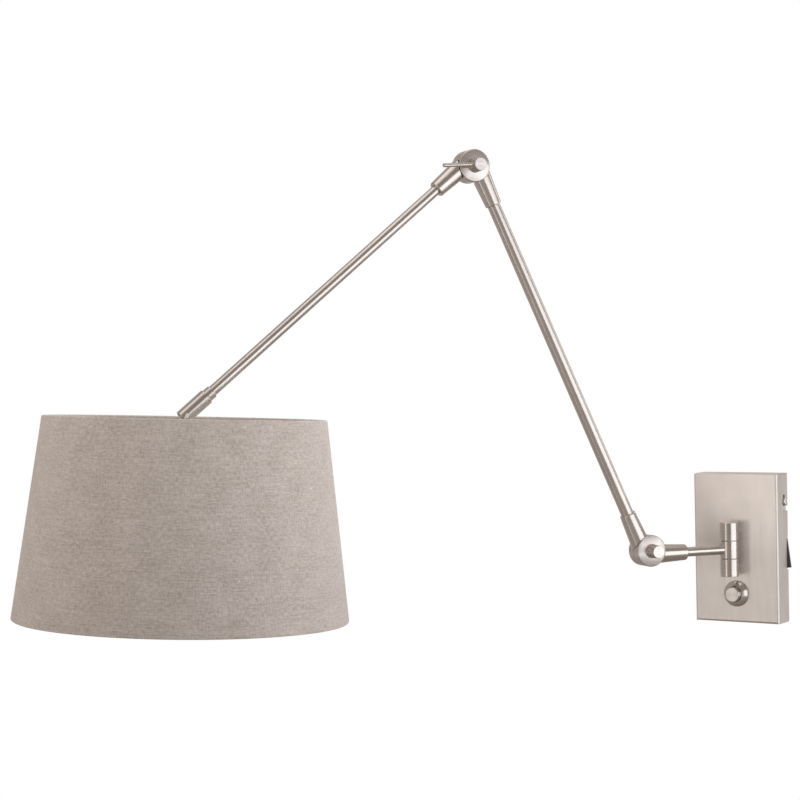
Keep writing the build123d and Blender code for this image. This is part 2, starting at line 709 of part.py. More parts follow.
bulb_tip = contact_foot - seat_gap
bulb_cap_top = bulb_tip - bulb_tip_height
bulb_cap_foot = bulb_cap_top - bulb_cap_length
bulb_cap = bar(Vector(0, 0, bulb_cap_foot), Vector(0, 0, bulb_cap_top), bulb_cap_diameter)
bulb_cap += bar(Vector(0, 0, bulb_cap_top), Vector(0, 0, bulb_tip), bulb_tip_diameter)
nodes["bulb_cap"] = head_frame * bulb_cap

glass_top = bulb_cap_foot - seat_gap
glass_middle = glass_top - bulb_neck_length


def pear(inset):
    """The solid of a bulb, so far inside the outer face of its glass."""
    arc = CenterArc((0, glass_middle), bulb_diameter / 2 - inset, -90, 90 + bulb_shoulder_angle)
    neck = (bulb_neck_diameter / 2 - inset, glass_top)
    outline = arc + Line(arc @ 1, neck) + Line(neck, (0, glass_top)) + Line((0, glass_top), arc @ 0)
    return revolve(Plane.XZ * make_face(outline), Axis.Z)


nodes["bulb_glass"] = head_frame * (pear(0) - pear(bulb_glass_wall))

# Shade: linen over a stiff liner, a wire ring at each rim

shade_top = -shade_drop
shade_bottom = shade_top - shade_height
shade_flare = (shade_bottom_diameter - shade_top_diameter) / 2 / shade_height


def shade_radius(height):
    """Outer radius of the shade at a height of its own axis."""
    return shade_top_diameter / 2 + (shade_top - height) * shade_flare


def shade_skin(outer_inset, thickness):
    """A tapered drum, so far inside the shade's outer face."""
    top_radius = shade_radius(shade_top) - outer_inset
    bottom_radius = shade_radius(shade_bottom) - outer_inset
    return turned(
        [
            (top_radius, shade_top),
            (bottom_radius, shade_bottom),
            (bottom_radius - thickness, shade_bottom),
            (top_radius - thickness, shade_top),
        ]
    )


nodes["shade_fabric"] = head_frame * shade_skin(0, fabric_thickness)
nodes["shade_liner"] = head_frame * shade_skin(fabric_thickness + seat_gap, liner_thickness)

ring_setback = fabric_thickness + liner_thickness + wire_diameter / 2 + 2 * seat_gap
wire_slope = math.hypot(1, shade_flare)
top_ring_height = shade_top - ring_inset
top_ring_radius = shade_radius(top_ring_height) - ring_setback * wire_slope
bottom_ring_height = shade_bottom + ring_inset
bottom_ring_radius = shade_radius(bottom_ring_height) - ring_setback * wire_slope
nodes["shade_top_ring"] = head_frame * wire_ring(top_ring_radius, top_ring_height)
nodes["shade_bottom_ring"] = head_frame * wire_ring(bottom_ring_radius, bottom_ring_height)

# Carrier: a flat fitter ring under the holder's flange, and spokes from its edge up to the top ring

fitter_top = flange_foot - seat_gap
fitter_foot = fitter_top - fitter_thickness
fitter_bore = holder_skirt_diameter / 2 + seat_gap
fitter = Cylinder(fitter_diameter / 2, fitter_thickness, align=ON_BASE)
fitter -= Cylinder(fitter_bore, fitter_thickness, align=ON_BASE)
nodes["shade_fitter"] = head_frame * Pos(0, 0, fitter_foot) * fitter

spoke_foot = fitter_top + seat_gap
spoke_start = Vector(holder_flange_diameter / 2 + free_gap + 1.5 * wire_diameter, 0, spoke_foot)
spoke_goal = Vector(top_ring_radius, 0, top_ring_height)
spoke_way = (spoke_goal - spoke_start).normalized()
spoke_bar = bar(
    spoke_start - spoke_way * 2 * wire_diameter,
    spoke_goal - spoke_way * (wire_diameter / 2 + seat_gap),
    wire_diameter,
)
spoke_bar -= Pos(0, 0, spoke_foot) * Cylinder(shade_top_diameter / 2, 4 * wire_diameter, align=HANGING)
spokes = []
for spoke in range(spoke_count):
    spokes.append(head_frame * Rot(0, 0, spoke_turn + spoke * 360 / spoke_count) * spoke_bar)
nodes["shade_spokes"] = Compound(children=spokes)

ring_nut_top = fitter_foot - seat_gap
ring_nut = Pos(0, 0, ring_nut_top - ring_nut_height) * Cylinder(
    ring_nut_diameter / 2, ring_nut_height, align=ON_BASE
)
ring_nut = fillet(ring_nut.edges().sort_by(Axis.Z)[0], ring_nut_edge_radius)
ring_nut -= Pos(0, 0, ring_nut_top) * Cylinder(fitter_bore, 4 * ring_nut_height)
nodes["shade_ring_nut"] = head_frame * ring_nut

# One file for each piece

os.makedirs("parts", exist_ok=True)
for name, piece in nodes.items():
    export_step(piece, f"parts/{name}.step")
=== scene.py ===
import bmesh
import bpy
import json
import math
from mathutils import Matrix, Vector


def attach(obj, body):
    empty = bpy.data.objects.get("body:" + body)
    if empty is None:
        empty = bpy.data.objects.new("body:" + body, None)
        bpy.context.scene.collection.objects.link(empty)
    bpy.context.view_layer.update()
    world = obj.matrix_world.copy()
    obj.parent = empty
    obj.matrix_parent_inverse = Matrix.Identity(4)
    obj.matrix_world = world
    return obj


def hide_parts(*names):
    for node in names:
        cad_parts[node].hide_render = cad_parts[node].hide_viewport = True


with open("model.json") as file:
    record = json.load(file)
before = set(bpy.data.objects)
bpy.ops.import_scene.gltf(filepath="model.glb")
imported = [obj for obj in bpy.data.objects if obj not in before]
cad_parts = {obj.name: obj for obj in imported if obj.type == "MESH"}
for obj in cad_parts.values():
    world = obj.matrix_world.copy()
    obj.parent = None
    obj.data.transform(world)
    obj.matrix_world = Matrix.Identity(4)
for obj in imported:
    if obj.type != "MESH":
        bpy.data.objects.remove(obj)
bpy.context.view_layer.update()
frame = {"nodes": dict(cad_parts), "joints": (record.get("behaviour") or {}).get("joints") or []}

# Wall bracket, nuts and spindle: folded steel strip and turned steel, zinc plated.
# The bracket is screwed to the wall, the nuts sit inside the box, the elbows and the lampholder,
# and the spindle carries the dimmer's knob.


def tint(code):
    """An sRGB hex colour as linear RGBA."""
    parts = [int(code[i : i + 2], 16) / 255 for i in (1, 3, 5)]
    linear = [p / 12.92 if p <= 0.04045 else ((p + 0.055) / 1.055) ** 2.4 for p in parts]
    return (*linear, 1.0)


def add(tree, kind, links=None, values=None, **settings):
    """A node with its settings, the values on its sockets and the links into them."""
    made = tree.nodes.new(kind)
    for key, value in settings.items():
        setattr(made, key, value)
    for socket, value in (values or {}).items():
        made.inputs[socket].default_value = value
    for socket, source in (links or {}).items():
        tree.links.new(source, made.inputs[socket])
    return made


def surface(tree, links, values):
    """Closes a material: its shader with these links and values, wired to the output."""
    shader = add(tree, "ShaderNodeBsdfPrincipled", links, values)
    add(tree, "ShaderNodeOutputMaterial", {"Surface": shader.outputs[0]})


def blank(name):
    """A new material with an empty node tree."""
    material = bpy.data.materials.new(name)
    material.use_nodes = True
    material.node_tree.nodes.clear()
    return material, material.node_tree


def dress(material, *pieces):
    """Puts a material on CAD pieces."""
    for piece in pieces:
        mesh = frame["nodes"][piece].data
        mesh.materials.clear()
        mesh.materials.append(material)


# Zinc plate is a cool pale metal with a faint cloudy crystal pattern about 2 mm across.
zinc, tree = blank("zinc_plated_steel")
place = add(tree, "ShaderNodeTexCoord").outputs["Object"]
cloud = add(tree, "ShaderNodeTexNoise", {"Vector": place}, {"Scale": 1 / 0.002, "Detail": 3.0})
tone = add(tree, "ShaderNodeValToRGB", {"Fac": cloud.outputs["Fac"]})
tone.color_ramp.elements[0].color = tint("#A9ADB0")
tone.color_ramp.elements[1].color = tint("#C3C5C4")
gloss = add(
    tree,
    "ShaderNodeMapRange",
    {"Value": cloud.outputs["Fac"]},
    {"From Min": 0.3, "From Max": 0.7, "To Min": 0.3, "To Max": 0.45},
)
surface(
    tree,
    {"Base Color": tone.outputs["Color"], "Roughness": gloss.outputs["Result"]},
    {"Metallic": 1.0},
)
dress(zinc, "wall_bracket", "knuckle_nuts", "dimmer_nut", "dimmer_shaft", "lower_clamp_nut")
dress(zinc, "upper_clamp_nut", "lampholder_nut")

# Grommet: a moulded rubber ring that lines the wire hole of the bracket.
# Black rubber, dull, with a fine bloom.
rubber, tree = blank("black_rubber")
place = add(tree, "ShaderNodeTexCoord").outputs["Object"]
bloom = add(tree, "ShaderNodeTexNoise", {"Vector": place}, {"Scale": 1 / 0.0015, "Detail": 4.0})
tone = add(tree, "ShaderNodeValToRGB", {"Fac": bloom.outputs["Fac"]})
tone.color_ramp.elements[0].color = tint("#151515")
tone.color_ramp.elements[1].color = tint("#2A2928")
grit = add(tree, "ShaderNodeBump", {"Height": bloom.outputs["Fac"]}, {"Strength": 0.2, "Distance": 0.0002})
surface(
    tree,
    {"Base Color": tone.outputs["Color"], "Normal": grit.outputs["Normal"]},
    {"Roughness": 0.75},
)
dress(rubber, "wire_grommet")

# Terminal block and washers: moulded nylon, off-white and waxy.
# The block is screwed to the bracket, and the washers lie in the barrel and the elbows.
nylon, tree = blank("natural_nylon")
place = add(tree, "ShaderNodeTexCoord").outputs["Object"]
flow = add(tree, "ShaderNodeTexNoise", {"Vector": place}, {"Scale": 1 / 0.006, "Detail": 2.0})
tone = add(tree, "ShaderNodeValToRGB", {"Fac": flow.outputs["Fac"]})
tone.color_ramp.elements[0].color = tint("#D5D1C7")
tone.color_ramp.elements[1].color = tint("#E4E1D9")
grain = add(tree, "ShaderNodeTexNoise", {"Vector": place}, {"Scale": 1 / 0.0004, "Detail": 2.0})
grit = add(tree, "ShaderNodeBump", {"Height": grain.outputs["Fac"]}, {"Strength": 0.1, "Distance": 0.0001})
surface(
    tree,
    {"Base Color": tone.outputs["Color"], "Normal": grit.outputs["Normal"]},
    {"Roughness": 0.42},
)
dress(nylon, "terminal_block", "hinge_washers", "lower_friction_washer", "upper_friction_washer")

# Dimmer body, switch and lampholder: black moulded plastic with a spark-eroded texture.
# The body and the switch sit inside the box, and the lampholder hangs in the shade,
# with a ring nut below its flange.
bakelite, tree = blank("black_moulded_plastic")
place = add(tree, "ShaderNodeTexCoord").outputs["Object"]
spark = add(tree, "ShaderNodeTexNoise", {"Vector": place}, {"Scale": 1 / 0.0005, "Detail": 3.0})
tone = add(tree, "ShaderNodeValToRGB", {"Fac": spark.outputs["Fac"]})
tone.color_ramp.elements[0].color = tint("#17181A")
tone.color_ramp.elements[1].color = tint("#26272A")
grit = add(tree, "ShaderNodeBump", {"Height": spark.outputs["Fac"]}, {"Strength": 0.25, "Distance": 0.0001})
surface(
    tree,
    {"Base Color": tone.outputs["Color"], "Normal": grit.outputs["Normal"]},
    {"Roughness": 0.42},
)
dress(bakelite, "dimmer_body", "rocker_housing")
dress(bakelite, "lampholder_cap", "lampholder_body", "shade_ring_nut")

# Rocker: slate-grey moulded plastic, a little shiny from use.
# It tips on a pin in the switch, and shows in the notch of the box's right side.
slate, tree = blank("slate_moulded_plastic")
place = add(tree, "ShaderNodeTexCoord").outputs["Object"]
spark = add(tree, "ShaderNodeTexNoise", {"Vector": place}, {"Scale": 1 / 0.0005, "Detail": 3.0})
tone = add(tree, "ShaderNodeValToRGB", {"Fac": spark.outputs["Fac"]})
tone.color_ramp.elements[0].color = tint("#35383C")
tone.color_ramp.elements[1].color = tint("#45484D")
grit = add(tree, "ShaderNodeBump", {"Height": spark.outputs["Fac"]}, {"Strength": 0.2, "Distance": 0.0001})
surface(
    tree,
    {"Base Color": tone.outputs["Color"], "Normal": grit.outputs["Normal"]},
    {"Roughness": 0.36},
)
dress(slate, "rocker")

# Wall box: drawn steel sheet, nickel plated and brushed upright, so that what it mirrors
# stays sharp up and down and blurs sideways. It hangs on the two side screws by its slots.


def nickel_tone(tree, place, low, high):
    """Warm nickel between two tones, uneven from plating in patches about 25 mm across."""
    patch = add(tree, "ShaderNodeTexNoise", {"Vector": place}, {"Scale": 1 / 0.025, "Detail": 2.0})
    tone = add(tree, "ShaderNodeValToRGB", {"Fac": patch.outputs["Fac"]})
    tone.color_ramp.elements[0].position = 0.3
    tone.color_ramp.elements[0].color = tint(low)
    tone.color_ramp.elements[1].position = 0.7
    tone.color_ramp.elements[1].color = tint(high)
    return tone.outputs["Color"]


sheet, tree = blank("brushed_nickel_sheet")
place = add(tree, "ShaderNodeTexCoord").outputs["Object"]
# The real lines are 0.1 mm apart. They are drawn 0.7 mm apart and 45 mm long, so that they show.
brush_gap = 0.0007
brush_length = 0.045
stretch = add(
    tree,
    "ShaderNodeVectorMath",
    {0: place},
    {1: (1 / brush_gap, 1 / brush_gap, 1 / brush_length)},
    operation="MULTIPLY",
)
lines = add(
    tree, "ShaderNodeTexNoise", {"Vector": stretch.outputs["Vector"]}, {"Scale": 1.0, "Detail": 3.0}
)
gloss = add(
    tree,
    "ShaderNodeMapRange",
    {"Value": lines.outputs["Fac"]},
    {"From Min": 0.3, "From Max": 0.7, "To Min": 0.33, "To Max": 0.42},
)
groove = add(tree, "ShaderNodeBump", {"Height": lines.outputs["Fac"]}, {"Strength": 0.02, "Distance": 0.0001})
upright = add(tree, "ShaderNodeTangent", direction_type="RADIAL", axis="Z")
surface(
    tree,
    {
        "Base Color": nickel_tone(tree, place, "#DFDAD6", "#E7E2DE"),
        "Roughness": gloss.outputs["Result"],
        "Normal": groove.outputs["Normal"],
        "Tangent": upright.outputs["Tangent"],
    },
    {"Metallic": 1.0, "Anisotropic": 0.8},
)
dress(sheet, "wall_box")

# Turned pieces: barrel, screws, rods, tubes, elbows and knob, of steel or brass,
# nickel plated and satin ground on the lathe, so that the fine lines run round each one's axis.


def round_grain(tree, place, axis, centre):
    """Direction of the lines round an axis, and a height that changes across them."""
    arm = add(tree, "ShaderNodeVectorMath", {0: place}, {1: centre}, operation="SUBTRACT").outputs["Vector"]
    along = add(tree, "ShaderNodeVectorMath", {0: arm}, {1: axis}, operation="DOT_PRODUCT").outputs["Value"]
    line = add(tree, "ShaderNodeVectorMath", {"Scale": along}, {0: axis}, operation="SCALE").outputs["Vector"]
    spoke = add(tree, "ShaderNodeVectorMath", {0: arm, 1: line}, operation="SUBTRACT").outputs["Vector"]
    radius = add(tree, "ShaderNodeVectorMath", {0: spoke}, operation="LENGTH").outputs["Value"]
    across = add(tree, "ShaderNodeCombineXYZ", {"X": radius, "Y": along}).outputs["Vector"]
    turn = add(tree, "ShaderNodeVectorMath", {1: arm}, {0: axis}, operation="CROSS_PRODUCT").outputs["Vector"]
    return turn, across, radius


def turned_nickel(name, axis, centre, disc=None):
    """Satin nickel with lines round an axis, or round a disc's own axis within that disc."""
    material, tree = blank(name)
    place = add(tree, "ShaderNodeTexCoord").outputs["Object"]
    turn, across = round_grain(tree, place, axis, centre)[:2]
    if disc:
        disc_turn, disc_across, disc_radius = round_grain(tree, place, disc[0], disc[1])
        inside = add(tree, "ShaderNodeMath", {0: disc_radius}, {1: disc[2]}, operation="LESS_THAN").outputs[0]
        turn = add(
            tree, "ShaderNodeMix", {"Factor": inside, 4: turn, 5: disc_turn}, data_type="VECTOR"
        ).outputs[1]
        across = add(
            tree, "ShaderNodeMix", {"Factor": inside, 4: across, 5: disc_across}, data_type="VECTOR"
        ).outputs[1]
    # The real lines are 0.05 mm apart. They are drawn 0.25 mm apart, so that they show close up.
    line_gap = 0.00025
    line_depth = 0.0000004
    lines = add(tree, "ShaderNodeTexNoise", {"Vector": across}, {"Scale": 1 / line_gap, "Detail": 2.0})
    gloss = add(
        tree,
        "ShaderNodeMapRange",
        {"Value": lines.outputs["Fac"]},
        {"From Min": 0.3, "From Max": 0.7, "To Min": 0.25, "To Max": 0.29},
    )
    relief = add(
        tree, "ShaderNodeMath", {0: lines.outputs["Fac"]}, {1: line_depth}, operation="MULTIPLY"
    ).outputs[0]
    if disc:
        # The real disc's face is a little domed. The solid's is flat, so this relief tips the light as a dome
        # does, which falls by 11 times the square of the distance from the middle.
        dome_fall = 11.0
        crown = add(tree, "ShaderNodeMath", {0: disc_radius}, {1: 2.0}, operation="POWER").outputs[0]
        crown = add(tree, "ShaderNodeMath", {0: crown, 1: inside}, operation="MULTIPLY").outputs[0]
        relief = add(
            tree, "ShaderNodeMath", {0: crown, 2: relief}, {1: -dome_fall}, operation="MULTIPLY_ADD"
        ).outputs[0]
    groove = add(tree, "ShaderNodeBump", {"Height": relief}, {"Strength": 1.0, "Distance": 1.0})
    world_turn = add(
        tree,
        "ShaderNodeVectorTransform",
        {0: turn},
        vector_type="VECTOR",
        convert_from="OBJECT",
        convert_to="WORLD",
    )
    surface(
        tree,
        {
            "Base Color": nickel_tone(tree, place, "#CBC5C1", "#D3CECA"),
            "Roughness": gloss.outputs["Result"],
            "Normal": groove.outputs["Normal"],
            "Tangent": world_turn.outputs[0],
        },
        {"Metallic": 1.0, "Anisotropic": 0.85, "Anisotropic Rotation": 0.25},
    )
    return material


# Side screws: pan heads of turned steel, nickel plated, one on each side of the box.
# They are threaded into the bracket's ears, and the box hangs on them.
side_screw = (0, -0.009, 0.047)
dress(turned_nickel("side_screw_nickel", (1, 0, 0), side_screw), "side_screws")

# Barrel: three turned knuckles on one screw, which is driven from below.
# The outer two stand on posts from the box, and the middle one swings with the arm.
pivots = {joint["name"]: Vector(joint["pos_m"]) for joint in frame["joints"]}
barrel = pivots["wall_swivel"]
dress(
    turned_nickel("barrel_nickel", (0, 0, 1), barrel),
    "upper_knuckle",
    "lower_knuckle",
    "swing_knuckle",
    "hinge_screw",
)

# Dimmer: a domed collar pressed from sheet and spun smooth, and a plain turned knob.
# The collar lies against the box, and the knob is pushed on to the spindle.
dimmer = Vector((0, -0.027, -0.046))
dress(turned_nickel("dimmer_nickel", (0, -1, 0), dimmer), "dimmer_collar", "dimmer_knob")

# Swing arm: a solid rod from the barrel to the lower elbow, soldered at both ends.
# The arm plane stands upright, turned 35 degrees from square to the wall.
swing = math.radians(35)
reach = Vector((-math.sin(swing), -math.cos(swing), 0))
elbow_axis = Vector((math.cos(swing), -math.sin(swing), 0))


def heading(degrees):
    """A direction in the arm plane, so many degrees above the reach of the swing arm."""
    turn = math.radians(degrees)
    return reach * math.cos(turn) + Vector((0, 0, 1)) * math.sin(turn)


dress(turned_nickel("swing_rod_nickel", reach, barrel), "swing_rod")

# Elbows: each is two turned discs with a washer between, a tapered ferrule on each, and a clamp screw
# through both. The front disc of the upper elbow belongs to the lower arm. The ferrules stand a few
# millimetres off the line through the pivots.
lower_pivot = pivots["lower_elbow"]
upper_pivot = pivots["upper_elbow"]
lower_rise = 65.4
upper_rise = -39.65
lower_offset = 0.004
upper_offset = 0.0056
lower_along = heading(lower_rise)
upper_along = heading(upper_rise)
lower_foot = lower_pivot - heading(lower_rise + 90) * lower_offset
upper_foot = upper_pivot + heading(upper_rise + 90) * upper_offset
disc_edge = 0.0157
dress(
    turned_nickel("swing_elbow_nickel", reach, barrel, (elbow_axis, lower_pivot, disc_edge)),
    "swing_elbow",
)
dress(
    turned_nickel("lower_foot_nickel", lower_along, lower_foot, (elbow_axis, lower_pivot, disc_edge)),
    "lower_arm_foot",
)
dress(
    turned_nickel("lower_head_nickel", lower_along, lower_foot, (elbow_axis, upper_pivot, disc_edge)),
    "lower_arm_head",
)
dress(
    turned_nickel("upper_foot_nickel", upper_along, upper_foot, (elbow_axis, upper_pivot, disc_edge)),
    "upper_arm_foot",
)
dress(turned_nickel("lower_clamp_nickel", elbow_axis, lower_pivot), "lower_clamp_screw")
dress(turned_nickel("upper_clamp_nickel", elbow_axis, upper_pivot), "upper_clamp_screw")
lever_stand = 0.01865
lever_rise = -2.4
lever_root = upper_pivot + elbow_axis * lever_stand
dress(turned_nickel("lever_nickel", heading(lever_rise), lever_root), "upper_clamp_lever")

# Arm tubes, with the lock collar and the slotted knuckle at the end of the upper one.
# The tubes are soldered into the ferrules, and the knuckle holds the shade's tongue on a pin.
tilt_pivot = pivots["shade_tilt"]
dress(turned_nickel("lower_tube_nickel", lower_along, lower_foot), "lower_arm_tube")
dress(
    turned_nickel("upper_tube_nickel", upper_along, upper_foot),
    "upper_arm_tube",
    "upper_arm_collar",
    "shade_knuckle",
)
dress(turned_nickel("tilt_pin_nickel", elbow_axis, tilt_pivot), "tilt_pin")

# Lampholder stem: a tongue, flange and threaded nipple, turned from one brass bar and nickel plated.
# The tongue hangs on the pin in the knuckle. The shade's own axis leans 2.5 degrees from upright.
shade_lean = 2.5
head_axis = heading(shade_lean + 90)
dress(turned_nickel("stem_nickel", head_axis, tilt_pivot), "lampholder_stem")

# Socket: a screw shell and a centre contact of pressed brass, riveted inside the lampholder.
# Bare brass is a warm yellow metal, clouded by tarnish in patches about 4 mm across.
brass, tree = blank("pressed_brass")
place = add(tree, "ShaderNodeTexCoord").outputs["Object"]
tarnish = add(tree, "ShaderNodeTexNoise", {"Vector": place}, {"Scale": 1 / 0.004, "Detail": 3.0})
tone = add(tree, "ShaderNodeValToRGB", {"Fac": tarnish.outputs["Fac"]})
tone.color_ramp.elements[0].color = tint("#B8964E")
tone.color_ramp.elements[1].color = tint("#D9BC78")
surface(tree, {"Base Color": tone.outputs["Color"]}, {"Metallic": 1.0, "Roughness": 0.3})
dress(brass, "lampholder_shell", "lampholder_contact")

# Bulb: a rolled aluminium cap with an opal glass pear below it.
# The opal is a white coat inside the glass, so it scatters light and keeps a clear outer gloss.
aluminium, tree = blank("rolled_aluminium")
place = add(tree, "ShaderNodeTexCoord").outputs["Object"]
scuff = add(tree, "ShaderNodeTexNoise", {"Vector": place}, {"Scale": 1 / 0.0015, "Detail": 3.0})
gloss = add(
    tree,
    "ShaderNodeMapRange",
    {"Value": scuff.outputs["Fac"]},
    {"From Min": 0.3, "From Max": 0.7, "To Min": 0.25, "To Max": 0.4},
)
tone = add(tree, "ShaderNodeValToRGB", {"Fac": scuff.outputs["Fac"]})
tone.color_ramp.elements[0].color = tint("#C2C3C4")
tone.color_ramp.elements[1].color = tint("#D6D6D5")
surface(
    tree,
    {"Base Color": tone.outputs["Color"], "Roughness": gloss.outputs["Result"]},
    {"Metallic": 1.0},
)
dress(aluminium, "bulb_cap")

opal, tree = blank("opal_glass")
place = add(tree, "ShaderNodeTexCoord").outputs["Object"]
powder = add(tree, "ShaderNodeTexNoise", {"Vector": place}, {"Scale": 1 / 0.012, "Detail": 2.0})
tone = add(tree, "ShaderNodeValToRGB", {"Fac": powder.outputs["Fac"]})
tone.color_ramp.elements[0].color = tint("#EAE6E0")
tone.color_ramp.elements[1].color = tint("#F4F1EC")
surface(tree, {"Base Color": tone.outputs["Color"]}, {"Roughness": 0.18, "IOR": 1.5})
dress(opal, "bulb_glass")

# Shade frame: steel wire rings, spokes and a flat fitter ring, powder coated white with a fine orange peel.
# The rings hold the rims open, and the spokes are welded to the fitter and the top ring.
powder_coat, tree = blank("white_powder_coat")
place = add(tree, "ShaderNodeTexCoord").outputs["Object"]
peel = add(tree, "ShaderNodeTexNoise", {"Vector": place}, {"Scale": 1 / 0.0012, "Detail": 2.0})
tone = add(tree, "ShaderNodeValToRGB", {"Fac": peel.outputs["Fac"]})
tone.color_ramp.elements[0].color = tint("#E2DEDA")
tone.color_ramp.elements[1].color = tint("#ECE9E6")
skin = add(tree, "ShaderNodeBump", {"Height": peel.outputs["Fac"]}, {"Strength": 0.2, "Distance": 0.0001})
surface(
    tree,
    {"Base Color": tone.outputs["Color"], "Normal": skin.outputs["Normal"]},
    {"Roughness": 0.4},
)
dress(powder_coat, "shade_top_ring", "shade_bottom_ring", "shade_spokes", "shade_fitter")

# Shade liner: stiff white styrene sheet, bonded to the back of the linen.
# It is matt, with the faint print of the weave behind it.
styrene, tree = blank("white_styrene")
place = add(tree, "ShaderNodeTexCoord").outputs["Object"]
print_through = add(tree, "ShaderNodeTexNoise", {"Vector": place}, {"Scale": 1 / 0.0025, "Detail": 3.0})
tone = add(tree, "ShaderNodeValToRGB", {"Fac": print_through.outputs["Fac"]})
tone.color_ramp.elements[0].color = tint("#E8E3DD")
tone.color_ramp.elements[1].color = tint("#F1EDE8")
surface(tree, {"Base Color": tone.outputs["Color"]}, {"Roughness": 0.55})
dress(styrene, "shade_liner")

# Shade cover: natural linen, stretched over the liner as one tapered drum, and rolled in over both rings.
# Its overlapped join runs down the side towards the wall. Heights are along the shade's axis, from the pin.
top_radius = 0.127
bottom_radius = 0.150
cover_height = 0.178
cover_top = -0.0034
cover_bottom = cover_top - cover_height
columns = 180
bpy.ops.object.select_all(action="DESELECT")
bpy.ops.mesh.primitive_cone_add(
    vertices=columns,
    radius1=bottom_radius,
    radius2=top_radius,
    depth=cover_height,
    end_fill_type="NOTHING",
    location=(0, 0, (cover_top + cover_bottom) / 2),
)
cover = bpy.context.object
cover.name = "shade_linen"
bpy.ops.object.transform_apply(location=True, rotation=True, scale=True)
bpy.ops.object.mode_set(mode="EDIT")
bpy.ops.mesh.select_mode(type="VERT")


def select_ring(height):
    """Selects the points at a height of the open drum."""
    bpy.ops.mesh.select_all(action="DESELECT")
    mesh = bmesh.from_edit_mesh(cover.data)
    for point in mesh.verts:
        point.select = abs(point.co.z - height) < 1e-6
    mesh.select_flush(True)
    bmesh.update_edit_mesh(cover.data)


# The rims: the cloth rolls over the liner's edge and the wire. At the top it stops above the spokes.
roll = (
    (0.0003, 0.0007),
    (0.0010, 0.0012),
    (0.0024, 0.0014),
    (0.0040, 0.0012),
    (0.0054, 0.0005),
    (0.0062, -0.0010),
    (0.0068, -0.0026),
    (0.0068, -0.0042),
    (0.0062, -0.0058),
    (0.0052, -0.0068),
    (0.0040, -0.0073),
)
for edge, radius, outward, steps in ((cover_top, top_radius, 1, 6), (cover_bottom, bottom_radius, -1, 11)):
    select_ring(edge)
    old_radius = radius
    old_rise = 0
    for inset, rise in roll[:steps]:
        new_radius = radius - inset
        scale = new_radius / old_radius
        lift = outward * (rise - old_rise)
        bpy.ops.mesh.extrude_region_move(TRANSFORM_OT_translate={"value": (0, 0, lift)})
        bpy.ops.transform.resize(value=(scale, scale, 1), center_override=(0, 0, 0))
        old_radius = new_radius
        old_rise = rise
bpy.ops.mesh.select_all(action="SELECT")
bpy.ops.mesh.normals_make_consistent(inside=False)
bpy.ops.object.mode_set(mode="OBJECT")

# The thread directions: metres round the drum and metres down it.
threads = cover.data.uv_layers.new(name="threads")
mean_radius = (top_radius + bottom_radius) / 2
for face in cover.data.polygons:
    turns = [math.atan2(cover.data.vertices[v].co.y, cover.data.vertices[v].co.x) for v in face.vertices]
    wraps = max(turns) - min(turns) > math.pi
    for loop, vertex, turn in zip(face.loop_indices, face.vertices, turns):
        if wraps and turn < 0:
            turn += 2 * math.pi
        threads.data[loop].uv = (turn * mean_radius, cover.data.vertices[vertex].co.z)

# The join: a strip of the same cloth, about 10 mm wide, lapped over the drum. It takes the faces whose
# middles lie within 2.5 degrees of the side towards the wall.
join_half_turn = 2.5
bpy.ops.object.mode_set(mode="EDIT")
bpy.ops.mesh.select_mode(type="FACE")
bpy.ops.mesh.select_all(action="DESELECT")
mesh = bmesh.from_edit_mesh(cover.data)
for face in mesh.faces:
    middle = face.calc_center_median()
    tall = max(v.co.z for v in face.verts) - min(v.co.z for v in face.verts) > cover_height / 2
    face.select = tall and abs(math.degrees(math.atan2(middle.y, -middle.x))) < join_half_turn
bmesh.update_edit_mesh(cover.data)
bpy.ops.mesh.duplicate()
bpy.ops.mesh.separate(type="SELECTED")
bpy.ops.object.mode_set(mode="OBJECT")
join = [piece for piece in bpy.context.selected_objects if piece != cover][0]
join.name = "shade_join"
for piece, thickness, offset in ((cover, 0.0008, -1), (join, 0.0005, 1)):
    bpy.ops.object.select_all(action="DESELECT")
    bpy.context.view_layer.objects.active = piece
    piece.select_set(True)
    bpy.ops.object.shade_smooth_by_angle(angle=math.radians(40))
    wall = piece.modifiers.new("cloth", "SOLIDIFY")
    wall.thickness = thickness
    wall.offset = offset
    bpy.ops.object.modifier_apply(modifier="cloth")
    across = heading(shade_lean)
    beside = head_axis.cross(across)
    turned = Matrix((across, beside, head_axis)).transposed().to_4x4()
    piece.matrix_world = Matrix.Translation(tilt_pivot) @ turned
    bpy.ops.object.transform_apply(location=True, rotation=True, scale=True)
    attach(piece, "shade_head")
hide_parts("shade_fabric")

# Linen is flax in plain weave: greige, matt and a little hairy, with slubs where the yarn thickens.
# The real threads are 0.6 mm apart. They are drawn 1.3 mm apart, so that they show.
thread_gap = 0.0013
thread_length = 0.0045
slub_width = 0.0022
slub_length = 0.03
linen, tree = blank("natural_linen")
cloth = add(tree, "ShaderNodeUVMap", uv_map="threads").outputs["UV"]
weft_way = add(
    tree,
    "ShaderNodeVectorMath",
    {0: cloth},
    {1: (1 / thread_length, 1 / thread_gap, 0)},
    operation="MULTIPLY",
)
weft = add(tree, "ShaderNodeTexNoise", {"Vector": weft_way.outputs["Vector"]}, {"Scale": 1.0, "Detail": 2.0})
warp_way = add(
    tree,
    "ShaderNodeVectorMath",
    {0: cloth},
    {1: (1 / thread_gap, 1 / thread_length, 0)},
    operation="MULTIPLY",
)
warp = add(tree, "ShaderNodeTexNoise", {"Vector": warp_way.outputs["Vector"]}, {"Scale": 1.0, "Detail": 2.0})
weave = add(
    tree,
    "ShaderNodeMath",
    {0: warp.outputs["Fac"], 2: weft.outputs["Fac"]},
    {1: 0.8},
    operation="MULTIPLY_ADD",
)
